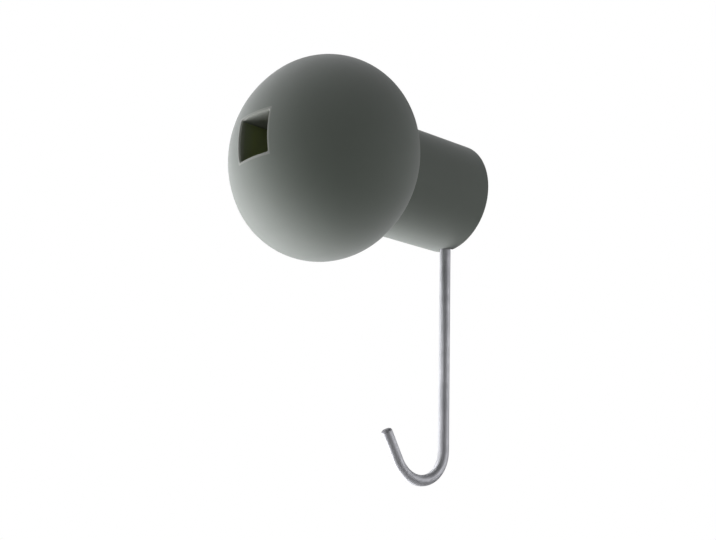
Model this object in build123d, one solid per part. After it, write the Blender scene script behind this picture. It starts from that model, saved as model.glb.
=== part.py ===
from build123d import *

import os
from math import acos, asin, cos, degrees, radians, sin, sqrt, tan

# Coat hook held by one wall screw: a moulded ball, a little flattened front to back, on a round
# neck, and a bent wire hook whose eye lies in a recess in the neck's back, round the screw hole.
# The origin is where the knob's axis meets the wall. The knob points along -Y, and +Z is up.

# Knob
ball_diameter = 55.0
ball_length = 48.0  # along the axis, from pole to pole
side_angle = 40.0  # degrees of its outline, each way from the widest place, that the side arc takes
projection = 71.0  # from the wall to the ball's foremost point
neck_diameter = 31.0
rim_chamfer = 0.4  # round the edge of the neck's back face

# Square socket on the axis, open at the front of the ball and ending at the screw's seat
socket_side = 11.2  # at the mouth
socket_draft = 0.5  # degrees on each wall, narrowing inward
socket_corner_radius = 0.5
socket_mouth_chamfer = 0.4
seat_thickness = 14.0  # from the socket's floor to the wall

# Countersunk screw hole through the seat
screw_diameter = 5.0
screw_clearance = 0.25  # all round the screw's shank
screw_head_diameter = 9.5
countersink_angle = 90.0  # degrees, side to side

# Wire hook
wire_diameter = 3.0
wire_end_chamfer = 0.4
bend_drop = 72.0  # from the knob's axis down to the start of the bend
bend_radius = 9.0  # of the wire's centre line
bend_turn = 150.0  # degrees
tip_length = 8.8  # straight end past the bend

# Eye at the top of the wire, and the recess and slot for it in the neck's back face
boss_diameter = 9.6  # the round land inside the eye, with the screw hole through it
throat_radius = 4.0  # where the wire swings aside into the eye
eye_end_angle = 45.0  # degrees from straight down to the eye's cut end
recess_clearance = 0.15  # all round the wire
wire_sink = 0.1  # from the neck's back face in to the wire

cutter_overrun = 1.0  # how far a cutting solid passes the surface it opens

ball_radius = ball_diameter / 2
ball_reach = ball_length / 2  # from the ball's middle to each pole
neck_radius = neck_diameter / 2
wire_radius = wire_diameter / 2
screw_hole_radius = screw_diameter / 2 + screw_clearance
screw_head_radius = screw_head_diameter / 2
slot_radius = wire_radius + recess_clearance
wire_setback = wire_sink + wire_radius  # from the wall to the wire's centre line
recess_depth = wire_setback + slot_radius  # from the wall
eye_radius = boss_diameter / 2 + slot_radius  # of the wire's centre line

# The wire's centre line lies in two planes: its eye and shank parallel to the wall, and its
# bend in the knob's plane of symmetry. In both, the local y axis points up.
eye_plane = Plane(origin=(0, -wire_setback, 0), x_dir=(1, 0, 0), z_dir=(0, -1, 0))
bend_plane = Plane(origin=(0, -wire_setback, 0), x_dir=(0, -1, 0), z_dir=(-1, 0, 0))


def side_arc_radius():
    # Lets the side arc run smoothly into the pole arcs.
    along = sin(radians(side_angle))
    across = cos(radians(side_angle))
    return (ball_reach * across - ball_radius * (1 - along)) / (along + across - 1)


def pole_arc_radius():
    # Both pole arcs have their centres on the axis.
    across = cos(radians(side_angle))
    return (ball_radius - side_arc_radius() * (1 - across)) / across


def knob_blank():
    # Local x is the radius and local y runs along the knob's axis.
    side_radius = side_arc_radius()
    pole_radius = pole_arc_radius()
    middle = ball_reach - projection
    pole_shift = pole_radius - ball_reach
    neck_angle = degrees(acos(neck_radius / pole_radius))
    front = CenterArc((0, middle + pole_shift), pole_radius, -90, 90 - side_angle)
    side = CenterArc((ball_radius - side_radius, middle), side_radius, -side_angle, 2 * side_angle)
    rear = CenterArc((0, middle - pole_shift), pole_radius, side_angle, neck_angle - side_angle)
    neck_side = Line(rear @ 1, (neck_radius, 0))
    back = Line(neck_side @ 1, (0, 0))
    axis = Line(back @ 1, front @ 0)
    outline = make_face([front, side, rear, neck_side, back, axis])
    rim = outline.vertices().sort_by_distance(neck_side @ 1)[0]
    return revolve(chamfer(rim, rim_chamfer), Axis.Y)


def socket_cutter():
    # A square frustum from the ball's foremost point back to the seat.
    depth = projection - seat_thickness
    inset = depth * tan(radians(socket_draft))
    far = socket_side - inset
    on_mouth = (Align.CENTER, Align.MIN, Align.CENTER)
    socket = Wedge(socket_side, depth, socket_side, inset, inset, far, far, align=on_mouth)
    corners = socket.edges().sort_by(SortBy.LENGTH)[-4:]
    return Pos(0, -projection, 0) * fillet(corners, socket_corner_radius)


def screw_cutter():
    # Local x is the radius and local y runs along the knob's axis, as in the blank.
    countersink_depth = (screw_head_radius - screw_hole_radius) / tan(radians(countersink_angle / 2))
    outline = Polyline(
        (0, cutter_overrun),
        (screw_hole_radius, cutter_overrun),
        (screw_hole_radius, countersink_depth - seat_thickness),
        (screw_head_radius, -seat_thickness),
        (0, -seat_thickness),
        close=True,
    )
    return revolve(make_face(outline), Axis.Y)


def throat_angle():
    # Degrees at the eye's centre, from straight down to where the throat meets the eye.
    return degrees(asin(throat_radius / (throat_radius + eye_radius)))


def throat_drop():
    # From the eye's centre down to where the throat meets the straight shank.
    return sqrt((throat_radius + eye_radius) ** 2 - throat_radius**2)


def throat_arc():
    # Bends the other way from the eye, so that the shank hangs straight below the eye's centre.
    turn = 90 - throat_angle()
    return CenterArc((-throat_radius, -throat_drop()), throat_radius, turn, -turn)


def wire_route():
    eye_start = eye_end_angle - 90
    eye_turn = 360 - eye_end_angle - throat_angle()
    eye = eye_plane * CenterArc((0, 0), eye_radius, eye_start, eye_turn)
    throat = eye_plane * throat_arc()
    bend = bend_plane * CenterArc((bend_radius, -bend_drop), bend_radius, 180, bend_turn)
    shank = Line(throat @ 1, bend @ 0)
    tip = Line(bend @ 1, bend @ 1 + (bend % 1) * tip_length)
    return Wire([eye.edge(), throat.edge(), shank.edge(), bend.edge(), tip.edge()])


def swept_round(route, radius):
    return sweep(Plane(origin=route @ 0, z_dir=route % 0) * Circle(radius), path=route)


def recess_cutter():
    # In the eye's plane: a flat-floored recess for the eye and throat, and a round-bottomed slot
    # from it straight down through the rim.
    ring = Circle(eye_radius + slot_radius) - Circle(eye_radius - slot_radius)
    outline = ring + trace(throat_arc(), 2 * slot_radius)
    recess = Pos(0, 0, slot_radius) * extrude(outline, -(recess_depth + cutter_overrun))
    slot_line = Line((0, -throat_drop()), (0, -neck_radius - cutter_overrun))
    slot_mouth = extrude(trace(slot_line, 2 * slot_radius), -(wire_setback + cutter_overrun))
    return eye_plane * (recess + swept_round(slot_line, slot_radius) + slot_mouth)


def knob_body():
    knob = knob_blank() - (socket_cutter() + screw_cutter())
    pole_radius = pole_arc_radius()
    mouth_depth = pole_radius - sqrt(pole_radius**2 - socket_side**2 / 2)
    mouth = knob.edges().filter_by_position(Axis.Y, -projection, mouth_depth - projection)
    return chamfer(mouth, socket_mouth_chamfer) - recess_cutter()


def wire_hook():
    route = wire_route()
    hook = swept_round(route, wire_radius)
    cut_ends = [hook.faces().sort_by_distance(route @ end)[0] for end in (0, 1)]
    return chamfer([face.edge() for face in cut_ends], wire_end_chamfer)


os.makedirs("parts", exist_ok=True)
export_step(knob_body(), "parts/knob_body.step")
export_step(wire_hook(), "parts/wire_hook.step")
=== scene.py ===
from math import asin, cos, degrees, pi, radians, sin, sqrt

import bpy
from mathutils import Matrix, Vector


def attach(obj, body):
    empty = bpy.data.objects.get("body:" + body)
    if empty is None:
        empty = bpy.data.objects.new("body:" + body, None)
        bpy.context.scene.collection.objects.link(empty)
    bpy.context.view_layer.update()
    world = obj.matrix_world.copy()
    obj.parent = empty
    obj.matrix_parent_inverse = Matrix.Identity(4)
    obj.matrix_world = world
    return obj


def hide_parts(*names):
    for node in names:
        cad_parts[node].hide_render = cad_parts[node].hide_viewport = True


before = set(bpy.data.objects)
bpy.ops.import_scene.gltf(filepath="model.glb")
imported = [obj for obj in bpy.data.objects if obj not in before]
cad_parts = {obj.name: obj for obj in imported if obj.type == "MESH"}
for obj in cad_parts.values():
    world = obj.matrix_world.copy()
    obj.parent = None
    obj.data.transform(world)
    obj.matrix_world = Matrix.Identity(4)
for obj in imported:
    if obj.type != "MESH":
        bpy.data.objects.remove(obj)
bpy.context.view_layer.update()  # metres, +Z up; the wall is the plane y = 0 and the knob points along -Y
print("frame loaded:", ", ".join(sorted(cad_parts)))


# Node helpers

def feed(tree, socket, value):
    # The value is a number, a colour or an output to link from.
    if isinstance(value, bpy.types.NodeSocket):
        tree.links.new(value, socket)
    else:
        socket.default_value = value


def place(tree, kind, inputs=None, **settings):
    # One node, with its own options set before its inputs.
    node = tree.nodes.new(kind)
    for name, value in settings.items():
        setattr(node, name, value)
    for name, value in (inputs or {}).items():
        feed(tree, node.inputs[name], value)
    return node


def calc(tree, operation, first, second=0.0, clamp=False):
    steps = {0: first, 1: second}
    return place(tree, "ShaderNodeMath", steps, operation=operation, use_clamp=clamp).outputs[0]


def blend(tree, factor, low, high):
    # Mixes two colours. The node has inputs for other kinds too, which are switched off.
    node = place(tree, "ShaderNodeMix", data_type="RGBA")
    colours = {"Factor": factor, "A": low, "B": high}
    for socket in node.inputs:
        if socket.enabled and socket.name in colours:
            feed(tree, socket, colours[socket.name])
    return next(socket for socket in node.outputs if socket.enabled)


def remap(tree, value, fromLow, fromHigh, toLow, toHigh):
    steps = {"Value": value, "From Min": fromLow, "From Max": fromHigh, "To Min": toLow, "To Max": toHigh}
    return place(tree, "ShaderNodeMapRange", steps).outputs["Result"]


def facingUp(tree):
    # The surface normal's z: 1 on what faces up and -1 on what faces down.
    normal = place(tree, "ShaderNodeNewGeometry").outputs["Normal"]
    return place(tree, "ShaderNodeSeparateXYZ", {0: normal}).outputs["Z"]


def newGroup(name, inputs, outputs):
    # A shader group with named sockets: (name, kind, default).
    tree = bpy.data.node_groups.new(name, "ShaderNodeTree")
    for label, kind, default in inputs:
        socket = tree.interface.new_socket(label, in_out="INPUT", socket_type=kind)
        if default is not None:
            socket.default_value = default
    for label, kind in outputs:
        tree.interface.new_socket(label, in_out="OUTPUT", socket_type=kind)
    return tree, place(tree, "NodeGroupInput").outputs, place(tree, "NodeGroupOutput").inputs


def useGroup(tree, group, inputs):
    return place(tree, "ShaderNodeGroup", inputs, node_tree=group).outputs


def newMaterial(name):
    material = bpy.data.materials.new(name)
    material.use_nodes = True
    tree = material.node_tree
    tree.nodes.clear()
    shader = place(tree, "ShaderNodeBsdfPrincipled")
    place(tree, "ShaderNodeOutputMaterial", {"Surface": shader.outputs["BSDF"]})
    return material, tree, shader


# Effects: handling marks and dust are on both finishes, and grain and soft edges on the knob

def buildSurfaceGrain():
    # Fine relief: a coarse and a fine noise of the given sizes, in metres.
    tree, given, out = newGroup(
        "surfaceGrain",
        [("Vector", "NodeSocketVector", None), ("Coarse Size", "NodeSocketFloat", 0.001),
         ("Fine Size", "NodeSocketFloat", 0.0003), ("Fine Share", "NodeSocketFloat", 0.5)],
        [("Height", "NodeSocketFloat")],
    )
    layers = []
    for size in ("Coarse Size", "Fine Size"):
        scale = calc(tree, "DIVIDE", 1.0, given[size])
        steps = {"Vector": given["Vector"], "Scale": scale, "Detail": 2.0}
        layers.append(place(tree, "ShaderNodeTexNoise", steps).outputs["Fac"])
    steps = {"Factor": given["Fine Share"], "A": layers[0], "B": layers[1]}
    mixed = place(tree, "ShaderNodeMix", steps, data_type="FLOAT")
    tree.links.new(mixed.outputs["Result"], out["Height"])
    return tree


def buildHandlingMarks():
    # Soft patches where hands and cloth have polished or dulled the surface, around 0.5.
    tree, given, out = newGroup(
        "handlingMarks",
        [("Vector", "NodeSocketVector", None), ("Patch Size", "NodeSocketFloat", 0.02),
         ("Contrast", "NodeSocketFloat", 1.0)],
        [("Mask", "NodeSocketFloat")],
    )
    scale = calc(tree, "DIVIDE", 1.0, given["Patch Size"])
    steps = {"Vector": given["Vector"], "Scale": scale, "Detail": 4.0, "Roughness": 0.6, "Distortion": 0.4}
    patches = place(tree, "ShaderNodeTexNoise", steps).outputs["Fac"]
    swing = calc(tree, "MULTIPLY", calc(tree, "SUBTRACT", patches, 0.5), given["Contrast"])
    tree.links.new(calc(tree, "ADD", swing, 0.5, clamp=True), out["Mask"])
    return tree


dustFilm = {
    "leastUpward": 0.25,  # world normal's z where the film begins
    "speckScale": 900.0,
    "speckFrom": 0.4,
    "speckTo": 0.7,
    "thinnest": 0.3,  # share of the film between specks
}


def buildSettledDust(size):
    # A thin uneven film on what faces up.
    tree, given, out = newGroup(
        "settledDust",
        [("Vector", "NodeSocketVector", None), ("Amount", "NodeSocketFloat", 0.1)],
        [("Mask", "NodeSocketFloat")],
    )
    upward = remap(tree, facingUp(tree), size["leastUpward"], 1.0, 0.0, 1.0)
    steps = {"Vector": given["Vector"], "Scale": size["speckScale"], "Detail": 3.0}
    specks = place(tree, "ShaderNodeTexNoise", steps).outputs["Fac"]
    uneven = remap(tree, specks, size["speckFrom"], size["speckTo"], size["thinnest"], 1.0)
    film = calc(tree, "MULTIPLY", upward, uneven)
    tree.links.new(calc(tree, "MULTIPLY", film, given["Amount"], clamp=True), out["Mask"])
    return tree


def buildSoftEdges():
    # Rounds the shading over an edge by the given radius, and marks where it did.
    tree, given, out = newGroup(
        "softEdges",
        [("Radius", "NodeSocketFloat", 0.0003), ("Reach", "NodeSocketFloat", 6.0)],
        [("Normal", "NodeSocketVector"), ("Mask", "NodeSocketFloat")],
    )
    rounded = place(tree, "ShaderNodeBevel", {"Radius": given["Radius"]}, samples=6).outputs["Normal"]
    flat = place(tree, "ShaderNodeNewGeometry").outputs["Normal"]
    agree = place(tree, "ShaderNodeVectorMath", {0: rounded, 1: flat}, operation="DOT_PRODUCT")
    away = calc(tree, "SUBTRACT", 1.0, agree.outputs["Value"])
    tree.links.new(rounded, out["Normal"])
    tree.links.new(calc(tree, "MULTIPLY", away, given["Reach"], clamp=True), out["Mask"])
    return tree


surfaceGrain = buildSurfaceGrain()
handlingMarks = buildHandlingMarks()
settledDust = buildSettledDust(dustFilm)
softEdges = buildSoftEdges()
print("shared effects built")


# Knob: one moulding with a soft, matt, grey-green skin

knobFinish = {
    "darkTone": (0.069, 0.090, 0.063, 1.0),
    "lightTone": (0.078, 0.102, 0.072, 1.0),
    # edges: wear, and a painted highlight where they catch light
    "wearAndHighlightTone": (0.19, 0.20, 0.18, 1.0),
    "dustTone": (0.30, 0.30, 0.28, 1.0),
    "toneSize": 0.014,
    "toneContrast": 1.6,
    "polishFineness": 3.0,  # gloss patches to one patch of tone
    "polishContrast": 1.4,
    "roughnessLow": 0.65,
    "roughnessHigh": 0.75,
    "specular": 0.3,
    "sheen": 0.4,
    "sheenRoughness": 0.8,
    "socketTone": (0.14, 0.18, 0.0, 1.0),  # unhandled skin on the socket's walls
    "ceilingShadeTone": (0.022, 0.034, 0.0, 1.0),  # painted shade on the socket's wall that faces down
    "socketSide": 0.0112,
    "socketFloor": -0.014,  # on the knob's axis
    "mouth": -0.0697,  # where the socket's edges meet the ball
    "tintDepth": 0.004,  # from the mouth in to the full socket tone
    "mouthTint": 0.3,  # share of the socket tone at the mouth
    "wallFade": 0.0001,
    "floorFade": 0.0005,
    "ceilingShadeFull": -0.8,  # world normal's z
    "ceilingShadeNone": -0.3,
    "lipHighlightTone": (0.22, 0.23, 0.19, 1.0),
    "lipWidth": 0.0007,  # painted highlight on the rounded edge round the mouth
    "lipFade": 0.0002,
    "lipDepth": 0.001,
    "lipHighlight": 0.7,
    "grainCoarse": 0.0009,
    "grainFine": 0.00028,
    "grainFineShare": 0.6,
    "grainDepth": 0.00001,
    "edgeRadius": 0.00035,
    "edgeReach": 5.0,
    "edgeWearAndHighlight": 0.5,
    "dust": 0.08,
}


def markSocket(tree, spot, size):
    # Masks for the socket's walls, stronger inward, for what faces down, where shade is painted, and for
    # the mouth's lip, where a highlight is painted.
    split = place(tree, "ShaderNodeSeparateXYZ", {0: spot}).outputs
    fromAxis = calc(tree, "MAXIMUM", calc(tree, "ABSOLUTE", split["X"]), calc(tree, "ABSOLUTE", split["Z"]))
    half = size["socketSide"] / 2
    within = remap(tree, fromAxis, half, half + size["wallFade"], 1.0, 0.0)
    floor = size["socketFloor"]
    aboveFloor = remap(tree, split["Y"], floor, floor + size["floorFade"], 1.0, 0.0)
    mouth = size["mouth"]
    inward = remap(tree, split["Y"], mouth, mouth + size["tintDepth"], size["mouthTint"], 1.0)
    walls = calc(tree, "MULTIPLY", calc(tree, "MULTIPLY", within, aboveFloor), inward)
    edge = half + size["lipWidth"]
    onLip = remap(tree, fromAxis, edge, edge + size["lipFade"], 1.0, 0.0)
    inFront = remap(tree, split["Y"], mouth, mouth + size["lipDepth"], 1.0, 0.0)
    lip = calc(tree, "MULTIPLY", onLip, inFront)
    # Painted shade: marks the socket's wall that faces down, to be darkened.
    ceilingShade = remap(tree, facingUp(tree), size["ceilingShadeFull"], size["ceilingShadeNone"], 1.0, 0.0)
    return {"walls": walls, "ceilingShade": ceilingShade, "lip": lip}


def makeKnobMaterial(size):
    material, tree, shader = newMaterial("softTouchMoulding")
    spot = place(tree, "ShaderNodeTexCoord").outputs["Object"]
    patches = {"Vector": spot, "Patch Size": size["toneSize"], "Contrast": size["toneContrast"]}
    tone = useGroup(tree, handlingMarks, patches)["Mask"]
    polishSize = size["toneSize"] / size["polishFineness"]
    patches = {"Vector": spot, "Patch Size": polishSize, "Contrast": size["polishContrast"]}
    polish = useGroup(tree, handlingMarks, patches)["Mask"]
    edges = useGroup(tree, softEdges, {"Radius": size["edgeRadius"], "Reach": size["edgeReach"]})
    dust = useGroup(tree, settledDust, {"Vector": spot, "Amount": size["dust"]})["Mask"]
    skin = blend(tree, tone, size["darkTone"], size["lightTone"])
    socket = markSocket(tree, spot, size)
    # The socket's walls take the olive socket tone, and the wall that faces down a painted shade, both
    # fuller inward.
    walls = blend(tree, socket["ceilingShade"], size["socketTone"], size["ceilingShadeTone"])
    skin = blend(tree, socket["walls"], skin, walls)
    # Painted highlight: the lip round the socket's mouth is lightened.
    skin = blend(tree, calc(tree, "MULTIPLY", socket["lip"], size["lipHighlight"]), skin, size["lipHighlightTone"])
    # Edges are lightened, partly for wear and partly as a painted highlight.
    wornAndLit = blend(tree, calc(tree, "MULTIPLY", edges["Mask"], size["edgeWearAndHighlight"]), skin, size["wearAndHighlightTone"])
    tree.links.new(blend(tree, dust, wornAndLit, size["dustTone"]), shader.inputs["Base Color"])
    handled = remap(tree, polish, 0.0, 1.0, size["roughnessLow"], size["roughnessHigh"])
    tree.links.new(calc(tree, "MAXIMUM", handled, socket["walls"]), shader.inputs["Roughness"])
    grain = {
        "Vector": spot,
        "Coarse Size": size["grainCoarse"],
        "Fine Size": size["grainFine"],
        "Fine Share": size["grainFineShare"],
    }
    relief = {
        "Height": useGroup(tree, surfaceGrain, grain)["Height"],
        "Distance": size["grainDepth"],
        "Strength": 1.0,
        "Normal": edges["Normal"],
    }
    tree.links.new(place(tree, "ShaderNodeBump", relief).outputs["Normal"], shader.inputs["Normal"])
    shader.inputs["Specular IOR Level"].default_value = size["specular"]
    shader.inputs["Sheen Weight"].default_value = size["sheen"]
    shader.inputs["Sheen Roughness"].default_value = size["sheenRoughness"]
    return material


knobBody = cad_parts["knob_body"]
knobBody.data.materials[0] = makeKnobMaterial(knobFinish)
print("knob finished")


# Wire hook: one length of drawn steel wire, swept along its bent route

wireSizes = {
    "wireDiameter": 0.003,
    "setback": 0.0016,  # from the wall to the wire's centre line
    "eyeRadius": 0.00645,
    "eyeEnd": 45.0,  # degrees from straight down to the eye's cut end
    "throatRadius": 0.004,
    "bendDrop": 0.072,
    "bendRadius": 0.009,
    "bendTurn": 150.0,
    "tipLength": 0.0088,
    "endRounding": 0.0008,
    "step": 0.0004,  # between rings of the sweep in a bend
    "sides": 40,
}

wireFinish = {
    "steelTone": (0.70, 0.705, 0.72, 1.0),
    "dullTone": (0.51, 0.515, 0.53, 1.0),
    "roughnessLow": 0.52,
    "roughnessHigh": 0.64,
    "cutTone": (0.33, 0.33, 0.34, 1.0),  # the sheared ends
    "cutFull": 0.0003,  # along the wire from each end, at full strength
    "cutReach": 0.0009,
    "cutRoughness": 0.75,
    "dustTone": (0.30, 0.30, 0.29, 1.0),
    "lineDepth": 0.000004,
    "lineStretch": (14.0, 14.0, 70.0),  # round the section, and along the wire
    "lineShare": 0.6,  # of the tone, and the rest is handling marks
    "markSize": 0.006,
    "markContrast": 1.8,
    "toneFrom": 0.3,
    "toneTo": 0.7,
    "dust": 0.04,
}


def arcPoints(centre, radius, start, turn, step):
    # Points along an arc in its own plane, both ends included; angles in degrees.
    count = max(4, round(radius * radians(abs(turn)) / step))
    angles = [radians(start + turn * i / count) for i in range(count + 1)]
    return [(centre[0] + radius * cos(a), centre[1] + radius * sin(a)) for a in angles]


def crowdEnd(route, reach, count=7, spare=1.05):
    # Adds points near the route's last point, closer and closer, for its rounded end.
    end, before = Vector(route[-1]), Vector(route[-2])
    inward = (before - end).normalized()
    depths = [reach * (1.0 - cos(pi / 2 * i / count)) for i in range(count, -1, -1)]
    kept = [spot for spot in route[:-1] if (Vector(spot) - end).length > reach * spare]
    return kept + [tuple(end + inward * depth) for depth in depths]


def wireRoute(size):
    # The eye and throat lie beside the wall in x and z, and the bend in y and z.
    throatReach = size["throatRadius"] + size["eyeRadius"]
    throatDrop = sqrt(throatReach**2 - size["throatRadius"] ** 2)
    throatTurn = 90.0 - degrees(asin(size["throatRadius"] / throatReach))
    eyeTurn = 270.0 - size["eyeEnd"] + throatTurn
    eye = arcPoints((0.0, 0.0), size["eyeRadius"], size["eyeEnd"] - 90.0, eyeTurn, size["step"])
    throatCentre = (-size["throatRadius"], -throatDrop)
    throat = arcPoints(throatCentre, size["throatRadius"], throatTurn, -throatTurn, size["step"])
    bendCentre = (size["bendRadius"], -size["bendDrop"])
    bend = arcPoints(bendCentre, size["bendRadius"], 180.0, size["bendTurn"], size["step"])
    route = [(x, -size["setback"], z) for x, z in eye + throat[1:]]
    route += [(0.0, -size["setback"] - out, z) for out, z in bend]
    heading = radians(180.0 + size["bendTurn"])
    tip = Vector((0.0, sin(heading), cos(heading))) * size["tipLength"]
    route.append(tuple(Vector(route[-1]) + tip))
    route = crowdEnd(route, size["endRounding"])
    return crowdEnd(route[::-1], size["endRounding"])[::-1]


def makeRouteCurve(route):
    curve = bpy.data.curves.new("wireRoute", "CURVE")
    curve.dimensions = "3D"
    spline = curve.splines.new("POLY")
    spline.points.add(len(route) - 1)
    for point, spot in zip(spline.points, route):
        point.co = (*spot, 1.0)
    routeCurve = bpy.data.objects.new("wireRoute", curve)
    bpy.context.scene.collection.objects.link(routeCurve)
    return routeCurve


def buildWireTree():
    # Sweeps a round section along a route, rounds off both cut ends, and keeps where each point
    # lies on the wire: round the section in x and y, and along the wire in z, in metres.
    tree = bpy.data.node_groups.new("sweptWire", "GeometryNodeTree")
    sockets = {
        "Route": "NodeSocketGeometry",
        "Wire Diameter": "NodeSocketFloat",
        "Sides": "NodeSocketInt",
        "End Rounding": "NodeSocketFloat",
        "Finish": "NodeSocketMaterial",
    }
    for label, kind in sockets.items():
        tree.interface.new_socket(label, in_out="INPUT", socket_type=kind)
    tree.interface.new_socket("Wire", in_out="OUTPUT", socket_type="NodeSocketGeometry")
    given = place(tree, "NodeGroupInput").outputs
    along = place(tree, "GeometryNodeSplineParameter").outputs["Length"]
    total = place(tree, "GeometryNodeSplineLength").outputs["Length"]
    fromEnd = calc(tree, "MINIMUM", along, calc(tree, "SUBTRACT", total, along))
    short = calc(tree, "SUBTRACT", given["End Rounding"], fromEnd)
    inRound = calc(tree, "DIVIDE", short, given["End Rounding"], clamp=True)
    squared = calc(tree, "MULTIPLY", inRound, inRound)
    arch = calc(tree, "SQRT", calc(tree, "SUBTRACT", 1.0, squared, clamp=True))
    cutBack = calc(tree, "MULTIPLY", given["End Rounding"], calc(tree, "SUBTRACT", 1.0, arch))
    radius = calc(tree, "SUBTRACT", calc(tree, "MULTIPLY", given["Wire Diameter"], 0.5), cutBack)
    routeMark = place(tree, "GeometryNodeCaptureAttribute")
    tree.links.new(given["Route"], routeMark.inputs["Geometry"])
    for label, length in (("Along", along), ("From End", fromEnd)):
        routeMark.capture_items.new("FLOAT", label)
        tree.links.new(length, routeMark.inputs[label])
    steps = {"Resolution": given["Sides"], "Radius": 1.0}
    circle = place(tree, "GeometryNodeCurvePrimitiveCircle", steps)
    sectionMark = place(tree, "GeometryNodeCaptureAttribute")
    sectionMark.capture_items.new("VECTOR", "Round")
    tree.links.new(circle.outputs["Curve"], sectionMark.inputs["Geometry"])
    tree.links.new(place(tree, "GeometryNodeInputPosition").outputs[0], sectionMark.inputs["Round"])
    steps = {
        "Curve": routeMark.outputs["Geometry"],
        "Profile Curve": sectionMark.outputs["Geometry"],
        "Scale": radius,
        "Fill Caps": True,
    }
    swept = place(tree, "GeometryNodeCurveToMesh", steps)
    section = place(tree, "ShaderNodeSeparateXYZ", {0: sectionMark.outputs["Round"]}).outputs
    steps = {"X": section["X"], "Y": section["Y"], "Z": routeMark.outputs["Along"]}
    spot = place(tree, "ShaderNodeCombineXYZ", steps)
    steps = {"Geometry": swept.outputs["Mesh"], "Name": "wireSpot", "Value": spot.outputs["Vector"]}
    marked = place(tree, "GeometryNodeStoreNamedAttribute", steps, data_type="FLOAT_VECTOR")
    toCut = routeMark.outputs["From End"]
    steps = {"Geometry": marked.outputs["Geometry"], "Name": "fromCut", "Value": toCut}
    kept = place(tree, "GeometryNodeStoreNamedAttribute", steps)
    steps = {"Geometry": kept.outputs["Geometry"], "Shade Smooth": True}
    smooth = place(tree, "GeometryNodeSetShadeSmooth", steps)
    whole = place(tree, "GeometryNodeRealizeInstances", {"Geometry": smooth.outputs["Geometry"]})
    steps = {"Geometry": whole.outputs["Geometry"], "Material": given["Finish"]}
    done = place(tree, "GeometryNodeSetMaterial", steps)
    place(tree, "NodeGroupOutput", {"Wire": done.outputs["Geometry"]})
    return tree


def meshFromTree(curveObject, tree, values, name):
    # Runs the tree on the curve, turns the result into a plain mesh object and drops the curve.
    modifier = curveObject.modifiers.new(tree.name, "NODES")
    modifier.node_group = tree
    for item in tree.interface.items_tree:
        if item.in_out == "INPUT" and item.name in values:
            modifier[item.identifier] = values[item.name]
    graph = bpy.context.evaluated_depsgraph_get()
    result = curveObject.evaluated_get(graph)
    mesh = bpy.data.meshes.new_from_object(result, preserve_all_data_layers=True, depsgraph=graph)
    curveObject.modifiers.clear()
    bpy.data.objects.remove(curveObject)
    piece = bpy.data.objects.new(name, mesh)
    bpy.context.scene.collection.objects.link(piece)
    return piece


def makeWireMaterial(size):
    material, tree, shader = newMaterial("drawnSteelWire")
    onWire = place(tree, "ShaderNodeAttribute", attribute_name="wireSpot").outputs["Vector"]
    spot = place(tree, "ShaderNodeTexCoord").outputs["Object"]
    steps = {0: onWire, 1: size["lineStretch"]}
    stretch = place(tree, "ShaderNodeVectorMath", steps, operation="MULTIPLY")
    steps = {"Vector": stretch.outputs["Vector"], "Scale": 1.0, "Detail": 3.0, "Roughness": 0.65}
    lines = place(tree, "ShaderNodeTexNoise", steps).outputs["Fac"]
    patches = {"Vector": spot, "Patch Size": size["markSize"], "Contrast": size["markContrast"]}
    marks = useGroup(tree, handlingMarks, patches)["Mask"]
    dust = useGroup(tree, settledDust, {"Vector": spot, "Amount": size["dust"]})["Mask"]
    fromLines = calc(tree, "MULTIPLY", lines, size["lineShare"])
    fromMarks = calc(tree, "MULTIPLY", marks, 1.0 - size["lineShare"])
    mottle = calc(tree, "ADD", fromLines, fromMarks)
    tone = remap(tree, mottle, size["toneFrom"], size["toneTo"], 0.0, 1.0)
    steel = blend(tree, tone, size["dullTone"], size["steelTone"])
    fromCut = place(tree, "ShaderNodeAttribute", attribute_name="fromCut").outputs["Fac"]
    cut = remap(tree, fromCut, size["cutFull"], size["cutReach"], 1.0, 0.0)
    steel = blend(tree, cut, steel, size["cutTone"])
    tree.links.new(blend(tree, dust, steel, size["dustTone"]), shader.inputs["Base Color"])
    drawn = remap(tree, tone, 0.0, 1.0, size["roughnessHigh"], size["roughnessLow"])
    sheared = calc(tree, "MULTIPLY", cut, size["cutRoughness"])
    tree.links.new(calc(tree, "MAXIMUM", drawn, sheared), shader.inputs["Roughness"])
    tree.links.new(calc(tree, "SUBTRACT", 1.0, dust), shader.inputs["Metallic"])
    relief = {"Height": lines, "Distance": size["lineDepth"], "Strength": 1.0}
    tree.links.new(place(tree, "ShaderNodeBump", relief).outputs["Normal"], shader.inputs["Normal"])
    return material


wireInputs = {
    "Wire Diameter": wireSizes["wireDiameter"],
    "Sides": wireSizes["sides"],
    "End Rounding": wireSizes["endRounding"],
    "Finish": makeWireMaterial(wireFinish),
}
routeCurve = makeRouteCurve(wireRoute(wireSizes))
bentWire = meshFromTree(routeCurve, buildWireTree(), wireInputs, "bentWire")
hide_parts("wire_hook")
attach(bentWire, "root")
print("wire hook swept:", len(bentWire.data.polygons), "faces")


# Studio: white surroundings, a pale floor well below, and large soft lights

studio = {
    "floorDrop": 0.8,  # below the wall screw
    "floorSize": 6.0,
    "floorTone": (0.80, 0.80, 0.79, 1.0),
    "floorRoughness": 0.8,
    "floorGlow": 0.85,  # keeps the floor pale in view, and throws no light on the object
    "backdrop": 1.0,  # strength of the white behind the object
    "surround": 0.01,  # and of the surroundings' light on it
    "lightTone": (0.968, 0.965, 1.0),
    "aim": (0.0, -0.035, -0.02),
    "reach": 0.8,  # from the aim out to each light
    "panelWidth": 0.6,
}

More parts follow.
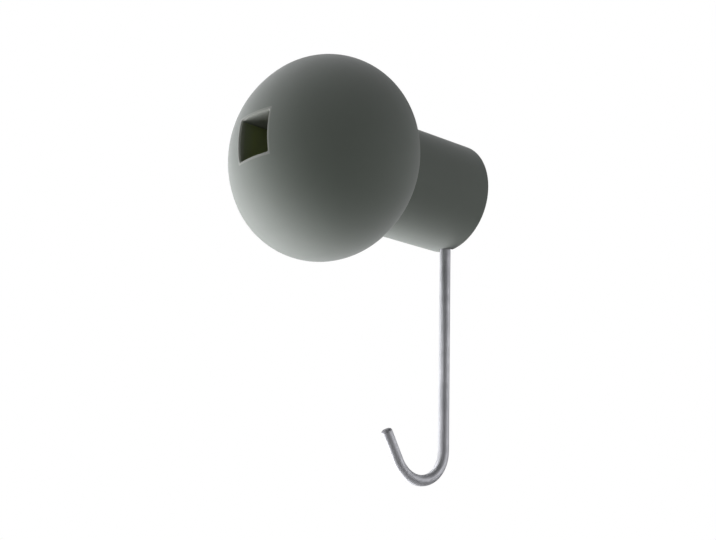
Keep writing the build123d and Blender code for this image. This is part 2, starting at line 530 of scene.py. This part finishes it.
# Bearing from straight out of the wall towards +X, height, and watts. These weren't chosen by hand:
# another program picked these lights out of thirty and worked out their watts by a fit.
lights = {
    "sideLow": (-67.0, -18.0, 6.23),
    "front": (0.0, 5.0, 1.87),
    "frontLeftHigh": (-45.0, 45.0, 2.32),
    "leftLow": (-90.0, -40.0, 6.97),
    "leftHigh": (-90.0, 45.0, 2.29),
    "back": (180.0, 5.0, 0.51),
    "backLow": (180.0, -40.0, 0.11),
    "backHigh": (180.0, 45.0, 0.50),
    "backRight": (135.0, 5.0, 1.90),
    "right": (90.0, 5.0, 0.56),
    "frontRight": (45.0, 5.0, 0.10),
}


def bearing(turn, height):
    # Unit direction; turn 0 points away from the wall, along -Y, and 90 along +X.
    flat = cos(radians(height))
    return Vector((sin(radians(turn)) * flat, -cos(radians(turn)) * flat, sin(radians(height))))


def hangLight(name, turn, height, power):
    lamp = bpy.data.lights.new(name, "AREA")
    lamp.shape = "SQUARE"
    lamp.size = studio["panelWidth"]
    lamp.color = studio["lightTone"]
    lamp.energy = power
    fitting = bpy.data.objects.new(name, lamp)
    fitting.location = Vector(studio["aim"]) + bearing(turn, height) * studio["reach"]
    fitting.rotation_euler = bearing(turn, height).to_track_quat("Z", "Y").to_euler()
    fitting.visible_camera = False
    bpy.context.scene.collection.objects.link(fitting)


def layFloor():
    half = studio["floorSize"] / 2
    mesh = bpy.data.meshes.new("floor")
    corners = [(-half, -half), (half, -half), (half, half), (-half, half)]
    mesh.from_pydata([(x, y, -studio["floorDrop"]) for x, y in corners], [], [(0, 1, 2, 3)])
    floor = bpy.data.objects.new("floor", mesh)
    bpy.context.scene.collection.objects.link(floor)
    material, tree, shader = newMaterial("paleFloor")
    shader.inputs["Base Color"].default_value = studio["floorTone"]
    shader.inputs["Roughness"].default_value = studio["floorRoughness"]
    shader.inputs["Emission Strength"].default_value = studio["floorGlow"]
    seen = place(tree, "ShaderNodeLightPath").outputs["Is Camera Ray"]
    glow = blend(tree, seen, (0.0, 0.0, 0.0, 1.0), studio["floorTone"])
    tree.links.new(glow, shader.inputs["Emission Color"])
    mesh.materials.append(material)


def lightSurroundings():
    # Pure white behind the object, which gets hardly any light from it.
    world = bpy.data.worlds.new("surroundings")
    world.use_nodes = True
    tree = world.node_tree
    tree.nodes.clear()
    white = {"Color": (1.0, 1.0, 1.0, 1.0), "Strength": studio["backdrop"]}
    behind = place(tree, "ShaderNodeBackground", white)
    faint = {"Color": (*studio["lightTone"], 1.0), "Strength": studio["surround"]}
    around = place(tree, "ShaderNodeBackground", faint)
    seen = place(tree, "ShaderNodeLightPath").outputs["Is Camera Ray"]
    steps = {0: seen, 1: around.outputs[0], 2: behind.outputs[0]}
    place(tree, "ShaderNodeOutputWorld", {"Surface": place(tree, "ShaderNodeMixShader", steps).outputs[0]})
    bpy.context.scene.world = world


layFloor()
lightSurroundings()
for name, (turn, height, power) in lights.items():
    hangLight(name, turn, height, power)
bpy.context.scene.view_settings.view_transform = "Standard"
print("studio lit")


# Camera: low in front and to the right of the knob, looking up. Its place, roll and lens come from
# a fit by another program too.

viewpoint = {
    "aim": (0.00098, -0.03474, -0.02831),
    "turn": 48.935,  # bearing of the camera from the aim, degrees
    "height": -15.764,
    "distance": 0.3739,
    "roll": 1.4959,
    "lens": 71.42,
    "film": 36.0,
}


def setCamera(size):
    lens = bpy.data.cameras.new("camera")
    lens.sensor_width = size["film"]
    lens.lens = size["lens"]
    lens.clip_start = 0.01
    camera = bpy.data.objects.new("camera", lens)
    back = bearing(size["turn"], size["height"])
    camera.location = Vector(size["aim"]) + back * size["distance"]
    roll = Matrix.Rotation(radians(size["roll"]), 3, "Z")
    camera.rotation_euler = (back.to_track_quat("Z", "Y").to_matrix() @ roll).to_euler()
    bpy.context.scene.collection.objects.link(camera)
    bpy.context.scene.camera = camera


setCamera(viewpoint)
bpy.context.view_layer.update()
